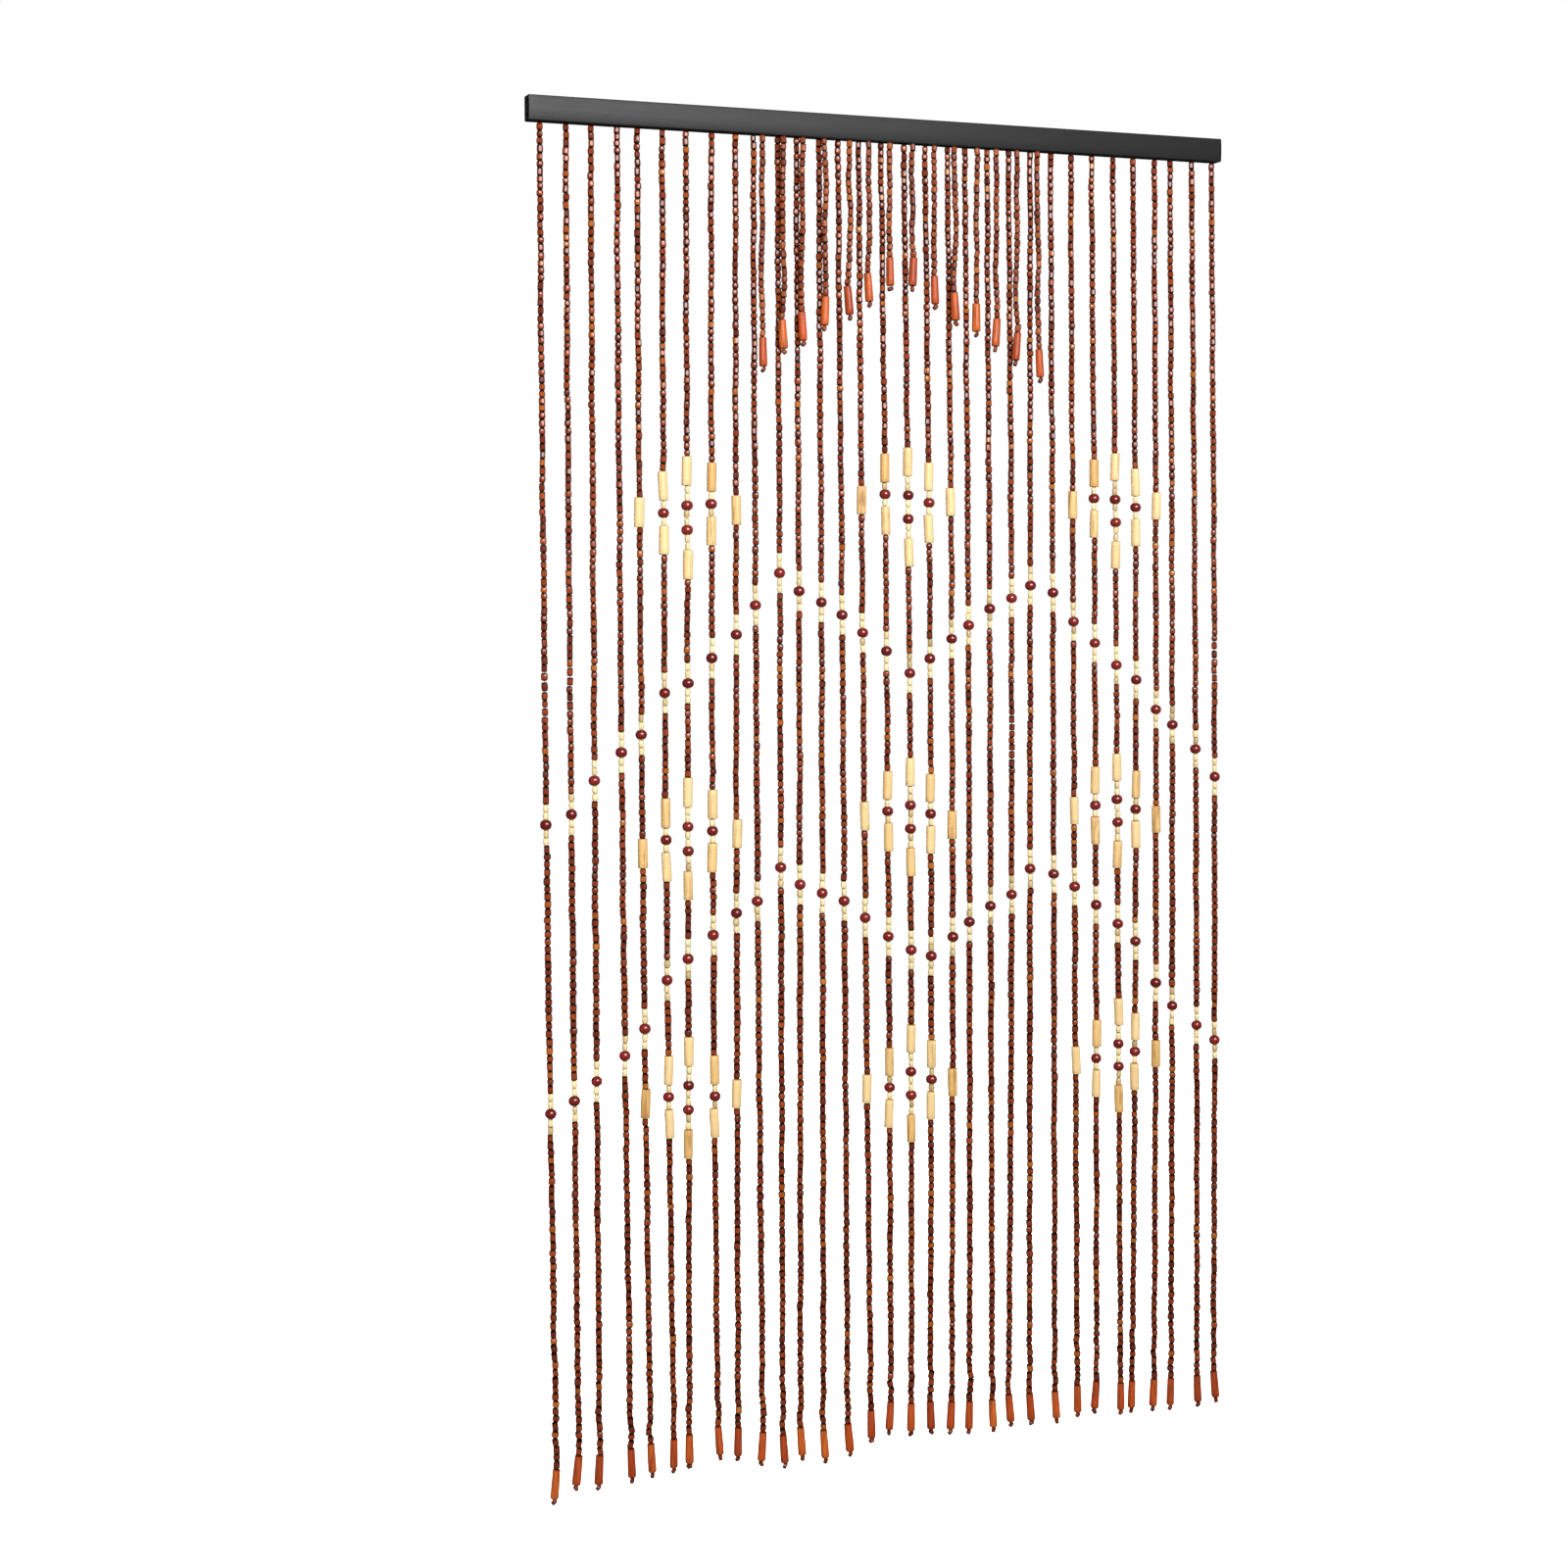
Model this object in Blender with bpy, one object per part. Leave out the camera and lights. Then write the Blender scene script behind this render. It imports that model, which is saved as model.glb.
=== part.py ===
"""Bead curtain: strings of wooden beads hanging from a painted bar.

X runs along the bar, -Y points into the room and +Z up. The origin is the
middle of the bar's back face. All sizes and tables are in millimetres, and
every depth is measured down from the bar's underside.
"""

import math

import bmesh
import bpy

MM = 0.001

# Bar
BAR_LENGTH = 1000
BAR_DEPTH = 20
BAR_HEIGHT = 32
BAR_EDGE_RADIUS = 1.5
BAR_EDGE_SEGMENTS = 3
UNDERSIDE = -BAR_HEIGHT / 2

# Strips that hold the strings, each in a groove of the underside
STRIP_WIDTH = 3.6
STRIP_HEIGHT = 4
STRIP_RECESS = 2
STRIP_OVERRUN = 4.5
FITTING_GAP = 0.3
LONG_ROW_Y = -6.9
SHORT_ROW_Y = -16.2

# Beads, as half widths across the string and lengths along it
SMALL_HALF = 3.6
SMALL_LENGTH = 9.8
BALL_HALF = 6.5
BALL_LENGTH = 12
BALL_FLAT = 4.8
TUBE_HALF = 5.8
TUBE_LENGTH = 38
TUBE_SHOULDER = 0.8
END_TUBE_TOP_HALF = 4.7
END_TUBE_FOOT_HALF = 5.3
TIP_LENGTH = 7
TIP_HALF = 2.8
NECK_HALF = 1.4
NECK_LENGTH = 0.6
TIP_ROUNDING = 1

# How far below the bar the small beads reach their full width
ROOT_CLEARANCE = 0.3
ROOT_FLARE = 0.9

# Heights at which the sway of a string is given, and the longest straight run
SWAY_MID_DEPTH = 930
SWAY_FOOT_DEPTH = 1700
LONGEST_RUN = 300

# A face whose normal's height is below this one looks down
DOWNWARD = -0.5

# One row for each long string, left to right: its hole along the bar, its
# sideways drift halfway down and at the foot, the tilt of its end tube in
# degrees, the depths of its two wave balls, and its whole drop
LONG_COLUMNS = ("hole", "mid", "foot", "tilt", "wave_a", "wave_b", "drop")
LONG_CHART = (
    (-482, 2, 9, -5, 888, 1257, 1759),
    (-448, 1, 5, -6, 876, 1243, 1745),
    (-415, -1, 0, -3, 834, 1220, 1748),
    (-380, 1, 7, 2, 799, 1190, 1745),
    (-353, 1, 7, 3, 777, 1157, 1742),
    (-319, -1, 5, -1, 724, 1096, 1740),
    (-287, -3, -6, 0, 712, 1070, 1737),
    (-252, -4, -1, 4, 680, 1041, 1731),
    (-219, -4, -6, -1, 650, 1014, 1736),
    (-194, 0, 4, -4, 612, 1000, 1747),
    (-160, -1, -2, 4, 570, 957, 1754),
    (-134, 0, -3, 4, 594, 981, 1747),
    (-102, 0, -2, 4, 609, 994, 1755),
    (-75, 4, 6, 5, 626, 1006, 1751),
    (-45, 4, 10, 1, 650, 1030, 1737),
    (-13, 6, 7, -4, 675, 1057, 1729),
    (20, 6, 4, -1, 705, 1077, 1735),
    (51, 5, 1, 2, 686, 1087, 1736),
    (84, 4, 0, -3, 660, 1063, 1740),
    (110, 3, 1, -2, 642, 1044, 1743),
    (143, 2, 2, 3, 620, 1024, 1745),
    (175, 2, -5, 5, 606, 1010, 1741),
    (208, -3, -6, 4, 589, 976, 1743),
    (239, 2, 2, 4, 599, 985, 1745),
    (270, 3, 6, 1, 639, 1004, 1741),
    (302, 4, 4, -5, 669, 1031, 1739),
    (335, 5, 9, 0, 700, 1059, 1746),
    (366, 3, -4, -2, 721, 1085, 1745),
    (400, 1, -3, -3, 763, 1145, 1747),
    (425, 2, -1, -2, 785, 1179, 1749),
    (459, 6, 7, 2, 820, 1209, 1750),
    (491, 4, 2, 5, 860, 1232, 1747),
)

# One row for each long string in a diamond: the string's number, its place in
# the diamond, and the depths of the three diamonds' middles on it
DIAMOND_COLUMNS = ("string", "place", "upper", "middle", "lower")
DIAMOND_CHART = (
    (5, "edge", 491, 930, 1254),
    (6, "side", 492, 914, 1248),
    (7, "centre", 498, 914, 1251),
    (8, "side", 480, 905, 1252),
    (9, "edge", 488, 910, 1251),
    (15, "edge", 474, 894, 1259),
    (16, "side", 466, 889, 1260),
    (17, "centre", 483, 898, 1257),
    (18, "side", 477, 895, 1254),
    (19, "edge", 476, 911, 1260),
    (25, "edge", 479, 899, 1244),
    (26, "side", 470, 893, 1244),
    (27, "centre", 487, 902, 1242),
    (28, "side", 482, 901, 1239),
    (29, "edge", 480, 916, 1244),
)

# One row for each short string of the arch: its hole, its drift a quarter,
# a half and three quarters down to its end tube and at the tube's top, the
# tilt of that tube in degrees, and its whole drop
SHORT_COLUMNS = ("hole", "quarter", "half", "low", "foot", "tilt", "drop")
SHORT_CHART = (
    (-185, -1, -1, -2, -1, 1, 308),
    (-156, -1, -1, 1, -3, 4, 284),
    (-129, 0, 0, -3, -2, 3, 273),
    (-98, 2, 0, 1, 1, -3, 252),
    (-62, -1, 1, -1, -4, 5, 237),
    (-35, -1, 1, 1, -2, 4, 219),
    (-4, 0, -1, -2, -1, 1, 197),
    (29, -2, -1, -2, 1, -3, 196),
    (61, -1, 0, -2, -1, 2, 219),
    (90, 0, 2, 1, -1, 4, 240),
    (124, -1, -1, -1, -2, 0, 254),
    (152, 0, 1, -1, 1, -4, 273),
    (183, 0, 1, -2, 1, -5, 291),
    (214, 0, 1, 1, 2, 3, 313),
)


def clear_scene():
    """Empty the scene of whatever objects it starts with."""
    for item in list(bpy.data.objects):
        bpy.data.objects.remove(item, do_unlink=True)


def read_chart(columns, rows):
    """Turn a chart into one dictionary for each row."""
    return [dict(zip(columns, row)) for row in rows]


def make_material(name, colour, roughness):
    """A plain surface of one colour."""
    material = bpy.data.materials.new(name)
    material.use_nodes = True
    shader = material.node_tree.nodes["Principled BSDF"]
    shader.inputs["Base Color"].default_value = (*colour, 1.0)
    shader.inputs["Roughness"].default_value = roughness
    shader.inputs["Metallic"].default_value = 0.0
    return material


def add_object(name, bm, material=None):
    """Put a bmesh in millimetres into the scene as an object in metres."""
    bmesh.ops.scale(bm, vec=(MM, MM, MM), verts=bm.verts)
    mesh = bpy.data.meshes.new(name)
    bm.to_mesh(mesh)
    bm.free()
    item = bpy.data.objects.new(name, mesh)
    bpy.context.scene.collection.objects.link(item)
    if material:
        mesh.materials.append(material)
    return item


def make_block(low, high):
    """A box between two corners."""
    bm = bmesh.new()
    bmesh.ops.create_cube(bm, size=1)
    size = [b - a for a, b in zip(low, high)]
    middle = [(a + b) / 2 for a, b in zip(low, high)]
    bmesh.ops.scale(bm, vec=size, verts=bm.verts)
    bmesh.ops.translate(bm, vec=middle, verts=bm.verts)
    return bm


def strip_ends(strands):
    """The two ends, along the bar, of the strip that holds these strings."""
    holes = [strand["hole"] for strand in strands]
    return min(holes) - STRIP_OVERRUN, max(holes) + STRIP_OVERRUN


def build_bar(rows):
    """The bar, with rounded edges and a groove for each row of strings."""
    bm = make_block(
        (-BAR_LENGTH / 2, -BAR_DEPTH, -BAR_HEIGHT / 2),
        (BAR_LENGTH / 2, 0, BAR_HEIGHT / 2),
    )
    bmesh.ops.bevel(
        bm,
        geom=list(bm.edges),
        offset=BAR_EDGE_RADIUS,
        offset_type="OFFSET",
        segments=BAR_EDGE_SEGMENTS,
        profile=0.5,
        affect="EDGES",
    )
    bar = add_object("rail", bm, make_material("rail_paint", (0.06, 0.06, 0.06), 0.55))
    for name, y, strands in rows:
        half = STRIP_WIDTH / 2 + FITTING_GAP
        left, right = strip_ends(strands)
        ceiling = UNDERSIDE + STRIP_RECESS + STRIP_HEIGHT + FITTING_GAP
        cutter = add_object(
            name + "_groove",
            make_block(
                (left - FITTING_GAP, y - half, UNDERSIDE - BAR_HEIGHT),
                (right + FITTING_GAP, y + half, ceiling),
            ),
        )
        cutter.hide_render = True
        cutter.display_type = "WIRE"
        cut = bar.modifiers.new(name + "_groove", "BOOLEAN")
        cut.operation = "DIFFERENCE"
        cut.solver = "EXACT"
        cut.object = cutter
    return bar


def long_drift(strand, depth):
    """Sideways drift of a long string: a parabola through its three places."""
    mid, foot = SWAY_MID_DEPTH, SWAY_FOOT_DEPTH
    rise = strand["mid"] * depth * (foot - depth) / (mid * (foot - mid))
    return rise + strand["foot"] * depth * (depth - mid) / (foot * (foot - mid))


def tube_top(strand):
    """Depth at which a string's end tube starts."""
    return strand["drop"] - TIP_LENGTH - TUBE_LENGTH


def short_turns(strand):
    """Depths and drifts between which a short string runs straight."""
    drifts = [0] + [strand[place] for place in ("quarter", "half", "low", "foot")]
    step = tube_top(strand) / (len(drifts) - 1)
    return [(step * index, drift) for index, drift in enumerate(drifts)]


def short_drift(strand, depth):
    """Sideways drift of a short string at a depth above its end tube."""
    turns = short_turns(strand)
    for (start, before), (end, after) in zip(turns, turns[1:]):
        if depth <= end:
            return before + (after - before) * (depth - start) / (end - start)
    return turns[-1][1]


def ball_sections(depth):
    """A ball bead: full width over its middle, small width at its two ends."""
    return [
        (depth - BALL_LENGTH / 2, SMALL_HALF),
        (depth - BALL_FLAT / 2, BALL_HALF),
        (depth + BALL_FLAT / 2, BALL_HALF),
        (depth + BALL_LENGTH / 2, SMALL_HALF),
    ]


def tube_sections(depth):
    """A tube bead: a straight barrel with short shoulders."""
    reach = TUBE_LENGTH / 2
    return [
        (depth - reach, SMALL_HALF),
        (depth - reach + TUBE_SHOULDER, TUBE_HALF),
        (depth + reach - TUBE_SHOULDER, TUBE_HALF),
        (depth + reach, SMALL_HALF),
    ]


def end_sections(drop):
    """The tube at a string's foot, a neck of string and the bead below it."""
    top = drop - TIP_LENGTH - TUBE_LENGTH
    foot = drop - TIP_LENGTH
    return [
        (top, SMALL_HALF),
        (top + TUBE_SHOULDER, END_TUBE_TOP_HALF),
        (foot - TUBE_SHOULDER, END_TUBE_FOOT_HALF),
        (foot, NECK_HALF),
        (foot + NECK_LENGTH, NECK_HALF),
        (foot + NECK_LENGTH + TIP_ROUNDING, TIP_HALF),
        (drop - TIP_ROUNDING, TIP_HALF),
        (drop, NECK_HALF),
    ]


def diamond_beads(place):
    """Offsets from a diamond's middle of the balls and tubes on one string."""
    if place == "edge":
        return [("tube", 0)]
    if place == "side":
        tube = BALL_LENGTH / 2 + SMALL_LENGTH + TUBE_LENGTH / 2
        return [("tube", -tube), ("ball", 0), ("tube", tube)]
    ball = BALL_LENGTH / 2 + SMALL_LENGTH
    tube = ball + BALL_LENGTH / 2 + 2 * SMALL_LENGTH + TUBE_LENGTH / 2
    return [("tube", -tube), ("ball", -ball), ("ball", ball), ("tube", tube)]


def long_beads(number, strand, diamonds):
    """Depths of the balls and tubes on a long string, from the top down."""
    beads = [("ball", strand["wave_a"]), ("ball", strand["wave_b"])]
    for diamond in diamonds:
        if diamond["string"] == number:
            for row in ("upper", "middle", "lower"):
                for shape, offset in diamond_beads(diamond["place"]):
                    beads.append((shape, diamond[row] + offset))
    return sorted(beads, key=lambda bead: bead[1])


def string_sections(beads, drop):
    """Depths and half widths of a string, from its root to its lowest bead."""
    sections = [
        (ROOT_CLEARANCE, STRIP_WIDTH / 2),
        (ROOT_CLEARANCE + ROOT_FLARE, SMALL_HALF),
    ]
    for shape, depth in beads:
        sections += ball_sections(depth) if shape == "ball" else tube_sections(depth)
    return sections + end_sections(drop)


def split_long_runs(sections):
    """Add sections where a straight run is too long to follow the drift."""
    result = [sections[0]]
    for depth, half in sections[1:]:
        before = result[-1][0]
        pieces = math.ceil((depth - before) / LONGEST_RUN)
        for step in range(1, pieces):
            result.append((before + (depth - before) * step / pieces, half))
        result.append((depth, half))
    return result


def place_sections(strand, sections, drift):
    """Give each section its place along the bar, the end tube's tilt too."""
    top = tube_top(strand)
    slope = math.tan(math.radians(strand["tilt"]))
    placed = []
    for depth, half in sections:
        lean = slope * max(depth - top, 0)
        x = strand["hole"] + drift(strand, min(depth, top)) + lean
        placed.append((x, depth, half))
    return placed


def extrude_to(bm, face, corners):
    """Extrude one face and set the corners of the new one."""
    new_face = bmesh.ops.extrude_discrete_faces(bm, faces=[face])["faces"][0]
    for vert, corner in zip(new_face.verts, corners):
        vert.co = corner
    return new_face


def build_strip(bm, y, strands):
    """Extrude the strip along the bar, with a square under each string."""
    low = UNDERSIDE + STRIP_RECESS
    high = low + STRIP_HEIGHT
    half = STRIP_WIDTH / 2
    left, right = strip_ends(strands)
    rim = [(y - half, low), (y - half, high), (y + half, high), (y + half, low)]
    start = [bm.verts.new((left, a, b)) for a, b in rim]
    face = bm.faces.new(start)
    stops = []
    for strand in strands:
        stops += [strand["hole"] - half, strand["hole"] + half]
    for x in stops + [right]:
        face = extrude_to(bm, face, [(x, vert.co.y, vert.co.z) for vert in face.verts])
    bm.faces.new(start)


def find_root(bm, x):
    """The square of the strip's lower face from which a string hangs."""
    for face in bm.faces:
        faces_down = face.normal.z < DOWNWARD
        if faces_down and abs(face.calc_center_median().x - x) < FITTING_GAP:
            return face
    raise ValueError("no root face at %s" % x)


def hang_string(bm, face, y, placed):
    """Extrude a four-sided string down from its root through its sections."""
    middle = face.calc_center_median()
    signs = [
        (math.copysign(1, vert.co.x - middle.x), math.copysign(1, vert.co.y - middle.y))
        for vert in face.verts
    ]
    for x, depth, half in placed:
        z = UNDERSIDE - depth
        face = extrude_to(
            bm, face, [(x + a * half, y + b * half, z) for a, b in signs]
        )


def build_row(name, y, strands, placed_strings, material):
    """One row of strings with their strip, as one closed solid."""
    bm = bmesh.new()
    build_strip(bm, y, strands)
    bmesh.ops.recalc_face_normals(bm, faces=bm.faces)
    roots = [find_root(bm, strand["hole"]) for strand in strands]
    for root, placed in zip(roots, placed_strings):
        hang_string(bm, root, y, placed)
    bmesh.ops.recalc_face_normals(bm, faces=bm.faces)
    return add_object(name, bm, material)


def main():
    """Build the bar, the long strings and the arch of short strings."""
    clear_scene()
    long_strands = read_chart(LONG_COLUMNS, LONG_CHART)
    short_strands = read_chart(SHORT_COLUMNS, SHORT_CHART)
    diamonds = read_chart(DIAMOND_COLUMNS, DIAMOND_CHART)

    build_bar((
        ("long", LONG_ROW_Y, long_strands),
        ("short", SHORT_ROW_Y, short_strands),
    ))

    long_placed = []
    for number, strand in enumerate(long_strands, start=1):
        beads = long_beads(number, strand, diamonds)
        sections = split_long_runs(string_sections(beads, strand["drop"]))
        long_placed.append(place_sections(strand, sections, long_drift))
    build_row(
        "long_strands",
        LONG_ROW_Y,
        long_strands,
        long_placed,
        make_material("long_wood", (0.33, 0.10, 0.045), 0.35),
    )

    short_placed = []
    for strand in short_strands:
        turns = [(depth, SMALL_HALF) for depth, drift in short_turns(strand)[1:-1]]
        sections = sorted(string_sections([], strand["drop"]) + turns)
        short_placed.append(place_sections(strand, sections, short_drift))
    build_row(
        "short_strands",
        SHORT_ROW_Y,
        short_strands,
        short_placed,
        make_material("short_wood", (0.36, 0.11, 0.05), 0.45),
    )


main()
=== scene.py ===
import math

import bmesh
import bpy
import numpy as np
from mathutils import Matrix, Vector


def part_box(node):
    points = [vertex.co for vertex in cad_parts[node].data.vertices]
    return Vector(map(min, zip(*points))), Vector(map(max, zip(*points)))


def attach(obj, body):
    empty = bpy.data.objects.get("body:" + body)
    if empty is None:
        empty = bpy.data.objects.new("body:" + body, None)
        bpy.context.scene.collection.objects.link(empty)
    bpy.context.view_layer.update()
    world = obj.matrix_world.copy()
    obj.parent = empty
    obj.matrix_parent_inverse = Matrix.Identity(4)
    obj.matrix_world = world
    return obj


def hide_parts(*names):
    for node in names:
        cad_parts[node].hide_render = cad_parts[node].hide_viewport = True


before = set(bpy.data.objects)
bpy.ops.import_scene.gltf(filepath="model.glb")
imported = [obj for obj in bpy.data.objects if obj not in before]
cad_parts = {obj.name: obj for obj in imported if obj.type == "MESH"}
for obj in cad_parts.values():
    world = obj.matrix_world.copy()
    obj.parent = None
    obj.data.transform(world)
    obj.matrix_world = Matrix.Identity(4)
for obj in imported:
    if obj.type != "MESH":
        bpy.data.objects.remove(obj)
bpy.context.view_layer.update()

mm = 0.001  # lengths below are in millimetres, and depths run down from the bar's underside

# Places read from the frame
railLow, railHigh = (np.array(corner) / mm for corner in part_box("rail"))
longLow, longHigh = (np.array(corner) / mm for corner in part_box("long_strands"))
shortLow, shortHigh = (np.array(corner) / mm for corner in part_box("short_strands"))
underside = railLow[2]
longRowY = (longLow[1] + longHigh[1]) / 2
shortRowY = (shortLow[1] + shortHigh[1]) / 2

# Long strings, left to right: hole along the bar, drift halfway down and at the foot,
# tilt of the end tube in degrees, depths of the two wave balls, whole drop
longColumns = ("hole", "mid", "foot", "tilt", "waveA", "waveB", "drop")
longChart = (
    (-482, 2, 9, -5, 888, 1257, 1759),
    (-448, 1, 5, -6, 876, 1243, 1745),
    (-415, -1, 0, -3, 834, 1220, 1748),
    (-380, 1, 7, 2, 799, 1190, 1745),
    (-353, 1, 7, 3, 777, 1157, 1742),
    (-319, -1, 5, -1, 724, 1096, 1740),
    (-287, -3, -6, 0, 712, 1070, 1737),
    (-252, -4, -1, 4, 680, 1041, 1731),
    (-219, -4, -6, -1, 650, 1014, 1736),
    (-194, 0, 4, -4, 612, 1000, 1747),
    (-160, -1, -2, 4, 570, 957, 1754),
    (-134, 0, -3, 4, 594, 981, 1747),
    (-102, 0, -2, 4, 609, 994, 1755),
    (-75, 4, 6, 5, 626, 1006, 1751),
    (-45, 4, 10, 1, 650, 1030, 1737),
    (-13, 6, 7, -4, 675, 1057, 1729),
    (20, 6, 4, -1, 705, 1077, 1735),
    (51, 5, 1, 2, 686, 1087, 1736),
    (84, 4, 0, -3, 660, 1063, 1740),
    (110, 3, 1, -2, 642, 1044, 1743),
    (143, 2, 2, 3, 620, 1024, 1745),
    (175, 2, -5, 5, 606, 1010, 1741),
    (208, -3, -6, 4, 589, 976, 1743),
    (239, 2, 2, 4, 599, 985, 1745),
    (270, 3, 6, 1, 639, 1004, 1741),
    (302, 4, 4, -5, 669, 1031, 1739),
    (335, 5, 9, 0, 700, 1059, 1746),
    (366, 3, -4, -2, 721, 1085, 1745),
    (400, 1, -3, -3, 763, 1145, 1747),
    (425, 2, -1, -2, 785, 1179, 1749),
    (459, 6, 7, 2, 820, 1209, 1750),
    (491, 4, 2, 5, 860, 1232, 1747),
)

# Strings in a diamond: string, place in the diamond, depths of the three diamonds' middles
diamondChart = (
    (5, "edge", 491, 930, 1254),
    (6, "side", 492, 914, 1248),
    (7, "centre", 498, 914, 1251),
    (8, "side", 480, 905, 1252),
    (9, "edge", 488, 910, 1251),
    (15, "edge", 474, 894, 1259),
    (16, "side", 466, 889, 1260),
    (17, "centre", 483, 898, 1257),
    (18, "side", 477, 895, 1254),
    (19, "edge", 476, 911, 1260),
    (25, "edge", 479, 899, 1244),
    (26, "side", 470, 893, 1244),
    (27, "centre", 487, 902, 1242),
    (28, "side", 482, 901, 1239),
    (29, "edge", 480, 916, 1244),
)

# Short strings: hole, drift a quarter, a half and three quarters down and at the end tube, tilt, whole drop
shortColumns = ("hole", "quarter", "half", "low", "foot", "tilt", "drop")
shortChart = (
    (-185, -1, -1, -2, -1, 1, 308),
    (-156, -1, -1, 1, -3, 4, 284),
    (-129, 0, 0, -3, -2, 3, 273),
    (-98, 2, 0, 1, 1, -3, 252),
    (-62, -1, 1, -1, -4, 5, 237),
    (-35, -1, 1, 1, -2, 4, 219),
    (-4, 0, -1, -2, -1, 1, 197),
    (29, -2, -1, -2, 1, -3, 196),
    (61, -1, 0, -2, -1, 2, 219),
    (90, 0, 2, 1, -1, 4, 240),
    (124, -1, -1, -1, -2, 0, 254),
    (152, 0, 1, -1, 1, -4, 273),
    (183, 0, 1, -2, 1, -5, 291),
    (214, 0, 1, 1, 2, 3, 313),
)

# Tone and figure of the pale tubes, for each string of the left diamonds from the top one down:
# tone runs from 0 cream to 1 ochre, figure from 0 plain to 1 streaked. The other diamonds mirror them
tubeChart = {
    "leftEdge": ((0.1, 0.1), (0.62, 0.9), (0.72, 0.8)),
    "leftSide": ((0.12, 0.1), (0.1, 0.1), (0.5, 0.4), (0.15, 0.2), (0.08, 0.5), (0.1, 0.1)),
    "centre": ((0.15, 0.3), (0.2, 0.3), (0.12, 0.1), (0.45, 0.4), (0.12, 0.1), (0.7, 0.7)),
    "rightSide": ((0.85, 0.4), (0.4, 1.0), (0.35, 0.3), (0.45, 0.6), (0.55, 0.3), (0.18, 0.1)),
    "rightEdge": ((0.55, 1.0), (0.2, 0.5), (0.15, 0.1)),
}

# A few beads hang apart and show the string: string, then the depths of the wider gaps
looseChart = (
    (1, 709, 720, 753),
    (2, 698, 709, 739),
    (22, 777, 789, 818),
    (32, 681, 692, 722),
)


def smoothStep(value):
    # t·t·(3 - 2t), with t held between 0 and 1
    t = np.clip(value, 0, 1)
    return t * t * (3 - 2 * t)


def unitRows(vectors):
    # each row divided by its own length
    return vectors / np.linalg.norm(vectors, axis=-1, keepdims=True)


# How a string departs from its drift, in millimetres
slack = {
    "lengths": (210, 131, 83),  # of the waves along a string
    "longSizes": (0.3, 0.22, 0.15),
    "footLengths": (73, 47, 34),  # of the tighter waves above the end tube
    "footSizes": (0.9, 0.6, 0.35),
    "footStretch": 120,  # how far above the end tube they start
    "shortSizes": (0.45, 0.4, 0.35),
    "depthShare": 0.3,  # of the sideways waves, towards and away from the room
    "ends": 14,  # over which the waves start and stop
    "midDepth": 930,  # where the chart gives the drift
    "footDepth": 1700,
    "forward": 1.1,  # the balls hold the lower part off the wall
    "forwardFrom": 340,
    "forwardRun": 90,
}
tube = {"length": 38.0, "tip": 7}  # of pale and end tubes; the tip is what hangs below an end tube


def waves(depth, lengths, sizes, seed):
    # sum of size · sin(2π · depth / length + a phase drawn from the seed)
    phases = np.random.default_rng(seed).uniform(0, 2 * np.pi, len(lengths))
    angles = 2 * np.pi * depth[:, None] / np.array(lengths) + phases
    return np.sin(angles) @ np.array(sizes)


def longDrift(thread, depth):
    # the parabola that is 0 at the bar, mid at midDepth and foot at footDepth
    mid, foot = slack["midDepth"], slack["footDepth"]
    rise = thread["mid"] * depth * (foot - depth) / (mid * (foot - mid))
    return rise + thread["foot"] * depth * (depth - mid) / (foot * (foot - mid))


def shortDrift(thread, depth):
    # eased steps between five evenly spaced drifts, the first one 0
    drifts = np.array([0] + [thread[place] for place in ("quarter", "half", "low", "foot")])
    step = thread["tubeTop"] / (len(drifts) - 1)
    index = np.clip((depth / step).astype(int), 0, len(drifts) - 2)
    ease = smoothStep(depth / step - index)
    return drifts[index] + (drifts[index + 1] - drifts[index]) * ease


def placesOn(thread, depth):
    # x = hole + drift + waves + lean of the end tube, y = row + a share of other waves, z = underside - depth
    depth = np.atleast_1d(np.asarray(depth, float))
    free = np.clip(depth, 0, thread["tubeTop"])
    ends = smoothStep(free / slack["ends"]) * smoothStep((thread["tubeTop"] - free) / slack["ends"])
    loose = smoothStep((free - thread["tubeTop"] + slack["footStretch"]) / slack["footStretch"])
    sway = []
    for seed in (thread["seed"], thread["seed"] + 500):
        wave = waves(free, slack["lengths"], thread["sizes"], seed)
        if thread["row"] == "long":
            wave = wave + loose * waves(free, slack["footLengths"], slack["footSizes"], seed + 50)
        sway.append(wave * ends)
    lean = math.tan(math.radians(thread["tilt"])) * np.maximum(depth - thread["tubeTop"], 0)
    x = thread["hole"] + thread["drift"](thread, free) + sway[0] + lean
    forward = slack["forward"] * smoothStep((depth - slack["forwardFrom"]) / slack["forwardRun"])
    y = thread["y"] + sway[1] * slack["depthShare"] - forward
    return np.stack([x, y, underside - depth], axis=-1)


def axesOn(thread, depth, reach):
    # from the point a reach below to the point a reach above, as unit vectors
    return unitRows(placesOn(thread, depth - reach) - placesOn(thread, depth + reach))


def readThreads():
    # one dictionary for each string, long ones first
    threads = []
    for row, columns, chart, seed, y, drift in (
        ("long", longColumns, longChart, 0, longRowY, longDrift),
        ("short", shortColumns, shortChart, 100, shortRowY, shortDrift),
    ):
        for number, values in enumerate(chart, start=1):
            thread = dict(zip(columns, values), row=row, number=number, seed=seed + number, y=y, drift=drift)
            thread["sizes"] = slack[row + "Sizes"]
            thread["tubeTop"] = thread["drop"] - tube["tip"] - tube["length"]
            threads.append(thread)
    return threads


threads = readThreads()
stringRows = {row: [thread for thread in threads if thread["row"] == row] for row in ("long", "short")}
longThreads, shortThreads = stringRows.values()
print("strings:", len(longThreads), "long and", len(shortThreads), "short")


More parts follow.
